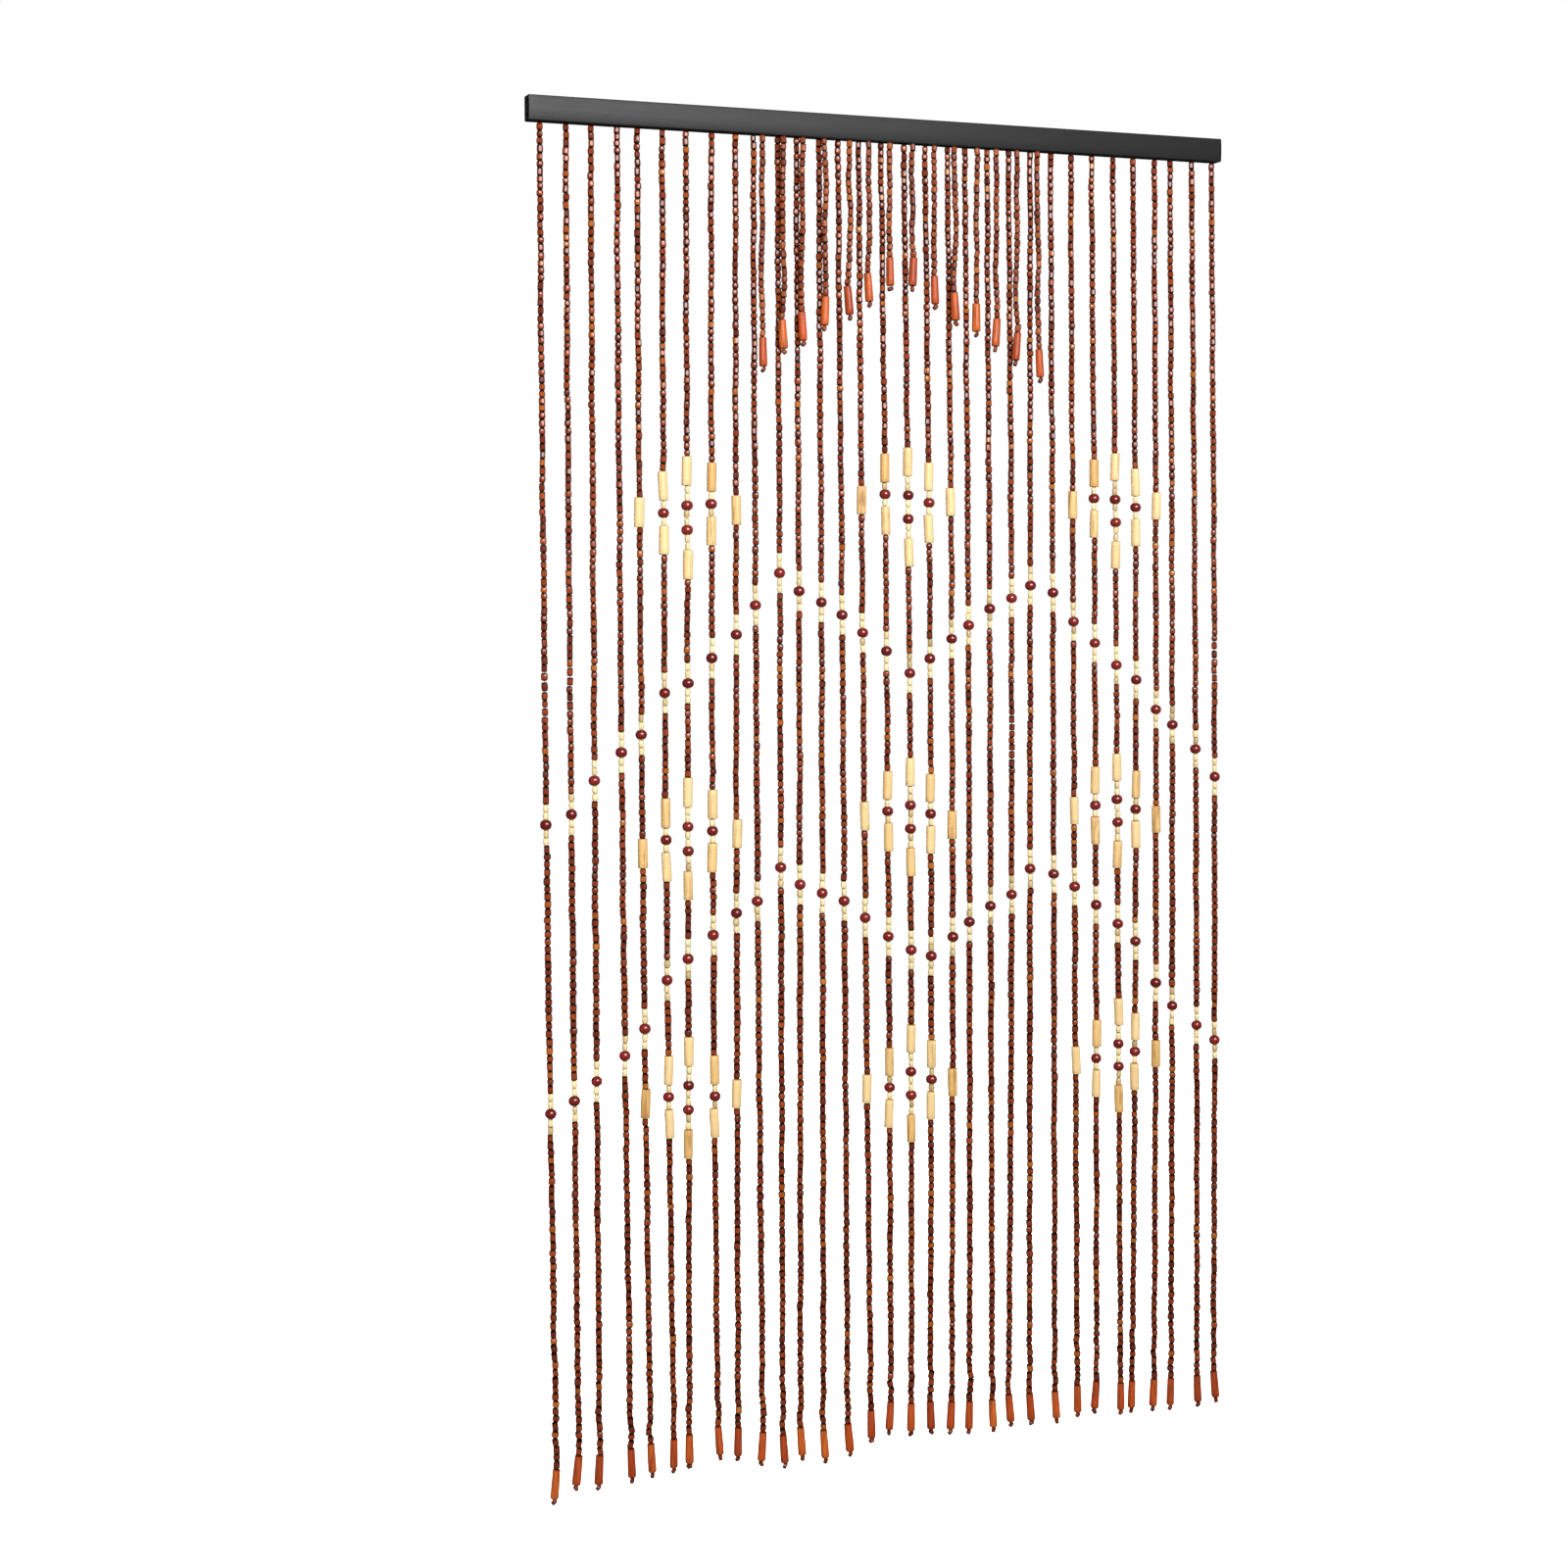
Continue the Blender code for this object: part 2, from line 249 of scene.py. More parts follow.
def ringFrames(axes):
    # side = room direction x axis and front = axis x side, so that side, front and axis are right-handed
    side = unitRows(np.cross(np.broadcast_to([0.0, -1.0, 0.0], axes.shape), axes))
    return side, np.cross(axes, side)


def turnedShells(centres, axes, lengths, radii, stations, widths, sides, seed, lobes):
    # point = centre + axis · length/2 · station + (side · cos a + front · sin a) · radius · width · lobe,
    # lobe = 1 + l·cos 2(a - p) + l/2·cos 3(a - q), with p, q and the start of a drawn for each shell
    rng = np.random.default_rng(seed)
    count = len(centres)
    side, front = ringFrames(axes)
    spin, turnTwo, turnThree = rng.uniform(0, 2 * np.pi, (3, count, 1))
    angle = spin + np.linspace(0, 2 * np.pi, sides, endpoint=False)
    lobe = 1 + lobes * np.cos(2 * (angle - turnTwo)) + lobes / 2 * np.cos(3 * (angle - turnThree))
    around = side[:, None] * np.cos(angle)[..., None] + front[:, None] * np.sin(angle)[..., None]
    width = (radii[:, None] * widths)[:, :, None] * lobe[:, None]
    spine = centres[:, None] + axes[:, None] * (lengths[:, None] / 2 * stations)[..., None]
    return spine[:, :, None] + around[:, None] * width[..., None]


def drawn(rng, look, size, count):
    # size · (1 + spread · a draw between -1 and 1)
    return look[size] * (1 + look[size + "Spread"] * rng.uniform(-1, 1, count))


def beadShells(centres, axes, lengths, radii, stations, widths, sides, seed, lobes, **looks):
    # turned shells with one value of each look for a whole bead, and an "end" that grows from middle to ends
    grid = turnedShells(centres, axes, lengths, radii, stations, widths, sides, seed, lobes)
    values = {key: np.broadcast_to(value[:, None, None], grid.shape[:3]) for key, value in looks.items()}
    values["end"] = np.broadcast_to(abs(stations)[:, :, None], grid.shape[:3])
    return {"grid": grid, "along": stations * lengths[:, None] / 2, "values": values}


def shellFaces(count, rings, sides, offset):
    # corner (shell, ring, side) has index (shell · rings + ring) · sides + side;
    # a quad goes round one side, then up one ring, and each end is closed by one face
    index = offset + np.arange(count * rings * sides).reshape(count, rings, sides)
    after = np.roll(index, -1, axis=2)
    quads = np.stack([index[:, :-1], after[:, :-1], after[:, 1:], index[:, 1:]], axis=-1).reshape(-1, 4)
    caps = np.concatenate([index[:, 0, ::-1], index[:, -1]])
    return quads, caps


def shellWraps(along, sides):
    # u = the share of the way round, v = the distance along; an end face lies in a small ring of its own
    count, rings = along.shape
    u = np.arange(sides + 1) / sides
    shape = (count, rings - 1, sides)
    left, right = np.broadcast_to(u[:-1], shape), np.broadcast_to(u[1:], shape)
    low = np.broadcast_to(along[:, :-1, None], shape)
    high = np.broadcast_to(along[:, 1:, None], shape)
    corners = [np.stack(pair, axis=-1) for pair in ((left, low), (right, low), (right, high), (left, high))]
    quads = np.stack(corners, axis=-2).reshape(-1, 2)
    ring = np.stack([np.cos(2 * np.pi * u[:-1]), np.sin(2 * np.pi * u[:-1])], axis=-1)
    caps = np.broadcast_to(ring, (2 * count, sides, 2)).reshape(-1, 2)
    return quads, caps


def buildPiece(name, shells, material, replaced, sharp=50, weld=False):
    # joins shells, each a grid (shell, ring, side, xyz) with its values, into one mesh that rides on the bar
    points, values, quads, caps, quadWraps, capWraps, capSizes = [], {}, [], [], [], [], []
    offset = 0
    for shell in shells:
        grid = shell["grid"]
        count, rings, sides = grid.shape[:3]
        quad, cap = shellFaces(count, rings, sides, offset)
        quadWrap, capWrap = shellWraps(np.asarray(shell["along"], float), sides)
        points.append(grid.reshape(-1, 3) * mm)
        for key, value in shell["values"].items():
            values.setdefault(key, []).append(np.asarray(value, np.float32).ravel())
        quads.append(quad)
        caps.append(cap.ravel())
        quadWraps.append(quadWrap)
        capWraps.append(capWrap)
        capSizes.append(np.full(len(cap), sides))
        offset += count * rings * sides
    points = np.concatenate(points)
    quads = np.concatenate(quads)
    corners = np.concatenate([quads.ravel()] + caps)
    sizes = np.concatenate([np.full(len(quads), 4)] + capSizes)
    mesh = bpy.data.meshes.new(name)
    mesh.vertices.add(len(points))
    mesh.vertices.foreach_set("co", points.astype(np.float32).ravel())
    mesh.loops.add(len(corners))
    mesh.loops.foreach_set("vertex_index", corners.astype(np.int32))
    mesh.polygons.add(len(sizes))
    mesh.polygons.foreach_set("loop_start", (np.cumsum(sizes) - sizes).astype(np.int32))
    mesh.update(calc_edges=True)
    wrap = mesh.uv_layers.new(name="wrap")
    wrap.uv.foreach_set("vector", np.concatenate(quadWraps + capWraps).astype(np.float32).ravel())
    for key, parts in values.items():
        mesh.attributes.new(key, "FLOAT", "POINT").data.foreach_set("value", np.concatenate(parts))
    if weld:
        shape = bmesh.new()
        shape.from_mesh(mesh)
        bmesh.ops.remove_doubles(shape, verts=shape.verts, dist=0.001 * mm)
        shape.to_mesh(mesh)
        shape.free()
    mesh.validate()
    mesh.shade_smooth()
    mesh.set_sharp_from_angle(angle=math.radians(sharp))
    mesh.materials.append(material)
    piece = bpy.data.objects.new(name, mesh)
    bpy.context.scene.collection.objects.link(piece)
    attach(piece, "root")
    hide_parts(replaced)
    print(name + ":", len(mesh.polygons), "faces")


def startFinish(name):
    # an empty node tree with one shader, and a function that adds a node and one that links two sockets
    material = bpy.data.materials.new(name)
    material.use_nodes = True
    tree = material.node_tree
    tree.nodes.clear()
    output = tree.nodes.new("ShaderNodeOutputMaterial")
    shader = tree.nodes.new("ShaderNodeBsdfPrincipled")
    tree.links.new(shader.outputs["BSDF"], output.inputs["Surface"])

    def add(kind, **settings):
        node = tree.nodes.new(kind)
        for key, value in settings.items():
            setattr(node, key, value)
        return node

    def link(source, target):
        tree.links.new(source, target)

    return material, shader, add, link


def readValue(add, name):
    # what the mesh holds under that name, one number for each point
    return add("ShaderNodeAttribute", attribute_name=name).outputs["Fac"]


def fadeNode(add, link, source, low, high, toLow, toHigh):
    # source from low..high becomes toLow..toHigh, held at both ends
    node = add("ShaderNodeMapRange", clamp=True)
    link(source, node.inputs["Value"])
    for key, value in (("From Min", low), ("From Max", high), ("To Min", toLow), ("To Max", toHigh)):
        node.inputs[key].default_value = value
    return node.outputs["Result"]


def rampNode(add, link, source, stops):
    # colour read off a ramp of (position, colour) stops
    node = add("ShaderNodeValToRGB")
    ramp = node.color_ramp
    while len(ramp.elements) < len(stops):
        ramp.elements.new(0.5)
    for element, (position, colour) in zip(ramp.elements, stops):
        element.position = position
        element.color = (*colour, 1.0)
    link(source, node.inputs["Fac"])
    return node.outputs["Color"]


def noiseNode(add, link, vector, scale, detail=3.0, stretch=(1, 1, 1)):
    # noise in metres, with its scale for each axis times the stretch
    mapping = add("ShaderNodeMapping")
    link(vector, mapping.inputs["Vector"])
    mapping.inputs["Scale"].default_value = stretch
    node = add("ShaderNodeTexNoise")
    node.inputs["Scale"].default_value = scale
    node.inputs["Detail"].default_value = detail
    link(mapping.outputs["Vector"], node.inputs["Vector"])
    return node.outputs["Fac"]


def mixNode(add, link, amount, first, second, mode="MIX"):
    # first mixed with second by amount; a number or colour may stand for a socket
    node = add("ShaderNodeMix", data_type="RGBA", blend_type=mode)
    for socket, value in ((node.inputs[0], amount), (node.inputs[6], first), (node.inputs[7], second)):
        if isinstance(value, bpy.types.NodeSocket):
            link(value, socket)
        else:
            socket.default_value = value if isinstance(value, (int, float)) else (*value, 1.0)
    return node.outputs[2]


def addBump(add, link, height, shader, strength, depth):
    # height pushes the surface in and out by up to depth millimetres
    bump = add("ShaderNodeBump")
    bump.inputs["Strength"].default_value = strength
    bump.inputs["Distance"].default_value = depth * mm
    link(height, bump.inputs["Height"])
    link(bump.outputs["Normal"], shader.inputs["Normal"])


def productNode(add, link, first, second):
    # first · second, held between 0 and 1
    node = add("ShaderNodeMath", operation="MULTIPLY", use_clamp=True)
    link(first, node.inputs[0])
    link(second, node.inputs[1])
    return node.outputs[0]


def woodFinish(name, look):
    # colour = ramp of the bead's tone, crossed by fine grain along the string, with streaks and dots where
    # its figure is high, darker towards both ends: painted shade where one bead meets the next, partly the
    # darker bare cut ends, where the coat fades; roughness follows its polish.
    # grain: noise scale, its run along the string, depth, colour; streak and dot: scale, run, colour;
    # ends: painted shade, where it starts and is full, depth, colour; coat: weight, roughness; bump:
    # strength, depth
    material, shader, add, link = startFinish(name)
    place = add("ShaderNodeTexCoord").outputs["Object"]
    colour = rampNode(add, link, readValue(add, "tone"), look["tones"])
    scale, run, depth, shade = look["grain"]
    grain = noiseNode(add, link, place, scale, 4.0, (1, 1, run))
    lines = fadeNode(add, link, grain, *figureLimits["grain"], 0.0, depth)
    colour = mixNode(add, link, lines, colour, shade, "MULTIPLY")
    for kind, detail, depth in (("streak", 3.0, 1.0), ("dot", 1.0, 0.8)):
        if kind in look:
            scale, run, shade = look[kind]
            spread = noiseNode(add, link, place, scale, detail, (1, 1, run))
            cover = fadeNode(add, link, spread, *figureLimits[kind], 0.0, depth)
            cover = productNode(add, link, cover, readValue(add, "figure"))
            colour = mixNode(add, link, cover, colour, shade)
    # ends: painted shade between neighbouring beads, partly their darker bare cut ends
    start, full, depth, shade = look["ends"]
    ends = fadeNode(add, link, readValue(add, "end"), start, full, 0.0, depth)
    link(mixNode(add, link, ends, colour, shade, "MULTIPLY"), shader.inputs["Base Color"])
    link(fadeNode(add, link, readValue(add, "polish"), 0, 1, *look["roughness"]), shader.inputs["Roughness"])
    addBump(add, link, grain, shader, *look["bump"])
    shader.inputs["Specular IOR Level"].default_value = look["shine"]
    weight, roughness = look["coat"]
    bare = fadeNode(add, link, readValue(add, "end"), start - coatLead, full - coatLead, weight, 0.0)
    link(bare, shader.inputs["Coat Weight"])
    shader.inputs["Coat Roughness"].default_value = roughness
    return material


# Noise at which each figure starts and is full, and how much sooner than the dark ends the coat fades
figureLimits = {"grain": (0.42, 0.62), "streak": (0.52, 0.66), "dot": (0.7, 0.76)}
coatLead = 0.1

# In each look the ends colour is painted shade where beads meet, partly their darker bare cut ends
brownBeadFinish = woodFinish("brownBeadVarnish", {
    "tones": (
        (0.0, (0.115, 0.02, 0.009)), (0.22, (0.155, 0.026, 0.009)),
        (0.5, (0.2, 0.033, 0.008)), (0.85, (0.255, 0.048, 0.012)),
        (0.94, (0.31, 0.072, 0.012)), (0.98, (0.37, 0.1, 0.015)),
        (1.0, (0.43, 0.15, 0.032)),
    ),
    "grain": (1500, 0.12, 0.45, (0.42, 0.3, 0.26)),
    "ends": (0.5, 0.82, 1.0, (0.06, 0.04, 0.04)),
    "roughness": (0.35, 0.55), "shine": 0.12, "coat": (0.85, 0.12), "bump": (0.25, 0.08),
})

shortBeadFinish = woodFinish("shortBeadVarnish", {
    "tones": (
        (0.0, (0.12, 0.024, 0.01)), (0.35, (0.19, 0.038, 0.013)),
        (0.75, (0.25, 0.056, 0.018)), (0.95, (0.3, 0.08, 0.022)),
        (1.0, (0.4, 0.13, 0.03)),
    ),
    "grain": (1500, 0.12, 0.4, (0.45, 0.33, 0.28)),
    "ends": (0.56, 0.88, 1.0, (0.06, 0.04, 0.04)),
    "roughness": (0.38, 0.55), "shine": 0.15, "coat": (0.2, 0.28), "bump": (0.35, 0.12),
})

creamBeadFinish = woodFinish("creamBeadVarnish", {
    "tones": (
        (0.0, (0.38, 0.28, 0.12)), (0.14, (0.52, 0.4, 0.19)),
        (0.3, (0.69, 0.56, 0.3)), (1.0, (0.77, 0.65, 0.39)),
    ),
    "grain": (1300, 0.15, 0.3, (0.8, 0.66, 0.45)),
    "ends": (0.74, 0.96, 0.8, (0.42, 0.3, 0.16)),
    "roughness": (0.36, 0.55), "shine": 0.35, "coat": (0.2, 0.2), "bump": (0.3, 0.1),
})

paleTubeFinish = woodFinish("paleTubeVarnish", {
    "tones": (
        (0.0, (0.74, 0.55, 0.28)), (0.35, (0.7, 0.49, 0.225)),
        (0.7, (0.62, 0.385, 0.14)), (1.0, (0.54, 0.3, 0.092)),
    ),
    "grain": (700, 0.05, 0.28, (0.78, 0.62, 0.4)),
    "streak": (260, 0.1, (0.33, 0.16, 0.05)),
    "dot": (900, 1, (0.16, 0.08, 0.03)),
    "ends": (0.93, 1.0, 0.7, (0.5, 0.32, 0.16)),
    "roughness": (0.38, 0.55), "shine": 0.35, "coat": (0.15, 0.25), "bump": (0.35, 0.15),
})

endTubeFinish = woodFinish("endTubeStain", {
    "tones": (
        (0.0, (0.345, 0.05, 0.011)), (0.5, (0.47, 0.08, 0.015)),
        (1.0, (0.585, 0.138, 0.022)),
    ),
    "grain": (800, 0.05, 0.6, (0.4, 0.26, 0.22)),
    "streak": (320, 0.08, (0.16, 0.04, 0.02)),
    "ends": (0.9, 1.0, 0.9, (0.2, 0.12, 0.1)),
    "roughness": (0.38, 0.55), "shine": 0.3, "coat": (0.15, 0.25), "bump": (0.45, 0.18),
})

darkBallFinish = woodFinish("darkBallLacquer", {
    "tones": (
        (0.0, (0.12, 0.009, 0.009)), (1.0, (0.21, 0.018, 0.014)),
    ),
    "grain": (500, 0.2, 0.35, (0.45, 0.35, 0.35)),
    "ends": (0.8, 1.0, 0.9, (0.2, 0.15, 0.15)),
    "roughness": (0.22, 0.32), "shine": 0.3, "coat": (1.0, 0.04), "bump": (0.1, 0.08),
})
print("wood finishes ready")


# Where the random draws of each kind start, so that a change to one leaves the others as they are
draws = {
    "gap": 1000, "brown": 2000, "cream": 6000, "balls": 7000, "tubes": 8000, "endTube": 9000, "stopper": 9300,
}

# Small beads
smallBead = {
    "pitch": 9.9,  # one bead and its gap, along the string
    "gap": 0.15,
    "gapRange": (0.4, 1.6),  # times the gap
    "lengthSpread": 0.17,
    "looseGap": 1.9,  # the wider gaps of the loose chart
    "start": 0.4,  # depth at which the first bead starts
    "barrelShare": 0.6,
    "barrelRadius": 4.2,
    "cylinderRadius": 3.9,
    "radiusSpread": 0.05,
    "barrelShoulder": (0.5, 0.66),  # where a bead starts to narrow, in half lengths
    "cylinderShoulder": (0.82, 0.9),
    "barrelNeck": (0.93, 0.97),  # its width there
    "cylinderNeck": 0.985,
    "barrelEnd": (0.6, 0.76),  # and at its cut ends
    "cylinderEnd": (0.76, 0.88),
    "lobes": 0.05,
    "sides": 8,
    "sideways": 0.26,  # how far the loose hole lets a bead off its string
    "tilt": 0.035,  # as slopes
    "footTilt": 0.13,
    "footStretch": 420,
    "wider": 0.08,  # the lower beads are a little thicker
    "widerFrom": 700,
    "widerRun": 500,
    "shortScale": 0.97,  # of the radius, on the short strings
    "sharp": 30,
}
creamBead = {
    "pitch": 9.85,
    "gap": 0.3,
    "scale": 0.88,  # of a small bead's radius
    "tuck": 0.5,  # how far one slips under a diamond's ball
    "waveSteps": (0.52, 1.52),  # the two beside a wave's ball, in pitches from its end
    "waveReach": 2.02,
}
darkBall = {
    "pitch": 12,  # what a diamond leaves for one
    "length": 12.8, "radius": 7.5, "lengthSpread": 0.03, "radiusSpread": 0.03,
    "cut": 78,  # degrees from its middle ring to its holes
    "fullness": 0.8, "rings": 11, "sides": 20, "lobes": 0.012, "tilt": 0.06, "sideways": 0.2,
}
paleTube = {
    "length": tube["length"], "radius": 6.1, "lengthSpread": 0.012, "radiusSpread": 0.04, "taper": 0.035,
    "edge": (-1, -0.985, -0.955, -0.6, -0.2, 0.2, 0.6, 0.955, 0.985, 1),  # stations, in half lengths
    "lip": (0.8, 0.94, 1.0, 1.0, 1.01, 1.01, 1.0, 1.0, 0.94, 0.8),  # and the widths there
    "sides": 20, "lobes": 0.025, "tilt": 0.022, "sideways": 0.35,
}


def diamondLayout(place):
    # offsets of balls, tubes and pale beads from a diamond's middle;
    # each step is half of one bead and half of the next
    half, cream, ball, tuck = tube["length"] / 2, creamBead["pitch"], darkBall["pitch"] / 2, creamBead["tuck"]
    if place == "edge":
        return {"tubes": [0], "balls": [], "creams": []}
    if place == "side":
        reach = ball + cream + half
        step = (ball - tuck + reach - half) / 2
        return {"tubes": [-reach, reach], "balls": [0], "creams": [-step, step]}
    balls = ball + cream
    reach = balls + ball + 2 * cream + half
    outer = (balls + ball - tuck, reach - half)
    creams = [outer[0] + (outer[1] - outer[0]) * share for share in (0.25, 0.75)]
    inner = (balls - ball + tuck) / 2
    creams = [-value for value in creams] + [-inner, inner] + creams
    return {"tubes": [-reach, reach], "balls": [-balls, balls], "creams": creams}


def layString(thread):
    # depths of everything on a long string; what they leave free is filled with small brown beads
    laid = {"balls": [], "tubes": [], "creams": [], "spans": []}
    ball, cream = darkBall["length"] / 2, creamBead["pitch"]
    reach = creamBead["waveReach"] * cream
    for depth in (thread["waveA"], thread["waveB"]):
        laid["balls"].append(depth)
        for sign in (-1, 1):
            laid["creams"] += [depth + sign * (ball + cream * step) for step in creamBead["waveSteps"]]
        laid["spans"].append((depth - ball - reach, depth + ball + reach))
    for row in diamondChart:
        if row[0] == thread["number"]:
            layout = diamondLayout(row[1])
            reach = max(layout["tubes"]) + tube["length"] / 2
            for middle in row[2:]:
                for kind in ("tubes", "balls", "creams"):
                    laid[kind] += [middle + offset for offset in layout[kind]]
                laid["spans"].append((middle - reach, middle + reach))
    laid["spans"].sort()
    laid["tubes"].sort()
    return laid


def fillRun(top, foot, rng, looseDepths):
    # count = run / pitch, lengths drawn about the pitch and scaled so that beads and gaps fill the run
    count = max(1, round((foot - top) / smallBead["pitch"]))
    lengths = 1 + smallBead["lengthSpread"] * rng.uniform(-1, 1, count)
    gaps = smallBead["gap"] * rng.uniform(*smallBead["gapRange"], count)
    rough = top + np.cumsum(lengths) / lengths.sum() * (foot - top)
    for depth in looseDepths:
        if top < depth < foot:
            gaps[np.argmin(abs(rough - depth))] = smallBead["looseGap"]
    lengths *= (foot - top - gaps.sum()) / lengths.sum()
    ends = top + np.cumsum(lengths + gaps)
    return ends - gaps / 2 - lengths / 2, lengths


def brownBeads(thread, spans):
    # depths and lengths of the small beads between the spans that other beads take
    rng = np.random.default_rng(draws["gap"] + thread["seed"])
    key = (thread["row"], thread["number"])
    loose = [depth for row in looseChart if ("long", row[0]) == key for depth in row[1:]]
    edges = [smallBead["start"]] + [edge for span in spans for edge in span] + [thread["tubeTop"]]
    runs = [fillRun(top, foot, rng, loose) for top, foot in zip(edges[::2], edges[1::2])]
    return np.concatenate([run[0] for run in runs]), np.concatenate([run[1] for run in runs])


def hungBeads(thread, depths, lengths, seed, tilt, sideways):
    # centres lie on the string with a small push aside; axes follow it with a small tilt, more near the foot
    rng = np.random.default_rng(seed)
    stretch = smallBead["footStretch"]
    loose = smoothStep((depths - thread["tubeTop"] + stretch) / stretch)
    amount = tilt + (smallBead["footTilt"] - tilt) * loose
    push = np.clip(rng.normal(0, sideways, (len(depths), 3)), -2 * sideways, 2 * sideways)
    push[:, 1] *= slack["depthShare"]
    push[:, 2] = 0
    lean = np.clip(rng.normal(0, 1, (len(depths), 3)), -2, 2) * amount[:, None]
    lean[:, 2] = 0
    axes = unitRows(axesOn(thread, depths, lengths / 2) + lean)
    return placesOn(thread, depths) + push, axes


def smallShells(thread, depths, lengths, seed, scale=1.0):
    # a barrel narrows early towards its ends, a cylinder only at its edge; five rings each
    rng = np.random.default_rng(seed)
    count = len(depths)
    centres, axes = hungBeads(thread, depths, lengths, seed + 1, smallBead["tilt"], smallBead["sideways"])
    barrel = rng.random(count) < smallBead["barrelShare"]
    radii = np.where(barrel, smallBead["barrelRadius"], smallBead["cylinderRadius"]) * scale
    radii = radii * (1 + smallBead["radiusSpread"] * rng.uniform(-1, 1, count))
    lower = smoothStep((depths - smallBead["widerFrom"]) / smallBead["widerRun"])
    radii = radii * (1 + smallBead["wider"] * lower)

    def eitherWay(part, shape):
        # drawn for barrels, then for cylinders, and picked by each bead's form
        options = [rng.uniform(*smallBead[form + part], shape) for form in ("barrel", "cylinder")]
        return np.where(barrel, *options)

    shoulder = eitherWay("Shoulder", count)
    neck = np.where(barrel, rng.uniform(*smallBead["barrelNeck"], count), smallBead["cylinderNeck"])
    ends = eitherWay("End", (2, count))
    one = np.ones(count)
    stations = np.stack([-one, -shoulder, 0 * one, shoulder, one], axis=1)
    widths = np.stack([ends[0], neck, one, neck, ends[1]], axis=1)
    return beadShells(
        centres, axes, lengths, radii, stations, widths, smallBead["sides"], seed + 2, smallBead["lobes"],
        tone=rng.random(count), polish=rng.random(count),
    )


def buildBrownBeads():
    # the long strings go into four pieces of eight, the short ones into one
    def shellsOf(group, scale):
        shells = []
        for thread in group:
            spans = layString(thread)["spans"] if thread["row"] == "long" else []
            depths, lengths = brownBeads(thread, spans)
            shells.append(smallShells(thread, depths, lengths, draws["brown"] + 10 * thread["seed"], scale))
        return shells

    sharp = smallBead["sharp"]
    for first in range(0, len(longThreads), 8):
        group = longThreads[first:first + 8]
        name = "long_beads_%02d_%02d" % (group[0]["number"], group[-1]["number"])
        buildPiece(name, shellsOf(group, 1.0), brownBeadFinish, "long_strands", sharp)
    shells = shellsOf(shortThreads, smallBead["shortScale"])
    buildPiece("short_beads", shells, shortBeadFinish, "short_strands", sharp)


def buildCreamBeads():
    # turned like the small brown beads, all of one length and a little thinner
    shells = []
    for thread in longThreads:
        depths = np.array(layString(thread)["creams"], float)
        lengths = np.full(len(depths), creamBead["pitch"] - creamBead["gap"])
        seed = draws["cream"] + 10 * thread["seed"]
        shells.append(smallShells(thread, depths, lengths, seed, creamBead["scale"]))
    buildPiece("cream_beads", shells, creamBeadFinish, "long_strands")


def tubeTones(number, count):
    # the rows of the tube chart that a string reads; the middle and right diamonds read them mirrored
    charts = list(tubeChart.values())
    index = [row[0] for row in diamondChart].index(number)
    column = index % len(charts)
    if index >= len(charts):
        column = len(charts) - 1 - column
    return np.array(charts[column], float)[:count]


def bigShells(thread, kind, look, edge, profile):
    # a long string's balls or tubes, with lengths and radii drawn about the listed ones;
    # width = profile · (1 + taper · station); tubes take tone and figure from their chart, balls draw a tone
    depths = np.array(layString(thread)[kind], float)
    seed = draws[kind] + thread["seed"]
    rng = np.random.default_rng(seed)
    count = len(depths)
    lengths, radii = drawn(rng, look, "length", count), drawn(rng, look, "radius", count)
    centres, axes = hungBeads(thread, depths, lengths, seed + 100, look["tilt"], look["sideways"])
    if kind == "tubes":
        taper = rng.uniform(-look["taper"], look["taper"], (count, 1))
        tones = dict(zip(("tone", "figure"), tubeTones(thread["number"], count).T))
    else:
        taper = np.zeros((count, 1))
        tones = {"tone": rng.random(count)}
    return beadShells(
        centres, axes, lengths, radii, np.tile(edge, (count, 1)), profile * (1 + taper * edge), look["sides"],
        seed + 200, look["lobes"], **tones, polish=rng.random(count),
    )


def buildBigBeads():
    # a flattened ball: station = sin t / sin cut, width = cos t to the power fullness, t from -cut to cut;
    # a tube: a straight barrel with a rounded lip at both ends and a slight belly
    cut = math.radians(darkBall["cut"])
    t = np.linspace(-cut, cut, darkBall["rings"])
    edge, profile = np.sin(t) / math.sin(cut), np.cos(t) ** darkBall["fullness"]
    shells = [bigShells(thread, "balls", darkBall, edge, profile) for thread in longThreads]
    buildPiece("dark_balls", shells, darkBallFinish, "long_strands")
    edge, profile = np.array(paleTube["edge"]), np.array(paleTube["lip"])
    numbers = {row[0] for row in diamondChart}
    group = [thread for thread in longThreads if thread["number"] in numbers]
    shells = [bigShells(thread, "tubes", paleTube, edge, profile) for thread in group]
    buildPiece("pale_tubes", shells, paleTubeFinish, "long_strands")


# End tubes, and the stopper bead that each one rests on
endTube = {
    "topRadius": 5.0,
    "footRadius": 5.5,
    "flare": 1.6,  # half lengths over which the foot narrows to the top
    "edge": (-1, -0.975, -0.9, -0.55, -0.1, 0.35, 0.75, 0.965, 1),  # stations up from the foot
    "rim": (0.74, 0.88, 1, 1, 1, 1, 1, 1, 0.84),  # chamfers at the foot and the top
    "footRadiusSpread": 0.03, "sides": 16, "lobes": 0.03, "figure": (0.2, 0.9),
}
stopper = {
    "length": 7.2,
    "radius": 3.0,
    "below": 4.1,  # from the tube's foot to the bead's middle
    "tilts": (-45, 45, -50, -15, -18, -35, -70, 5),  # degrees, over and over along a row
    "turn": 0.5,  # radians out of the curtain's plane
    "edge": (-1, -0.62, 0, 0.62, 1.0), "widths": (0.72, 0.95, 1, 0.95, 0.72),
    "lengthSpread": 0.06, "radiusSpread": 0.05, "sides": 12, "lobes": 0.03, "tones": (0, 0.7),
}
stopperLooks = {"long": (brownBeadFinish, "brown_bead"), "short": (shortBeadFinish, "short_brown_bead")}


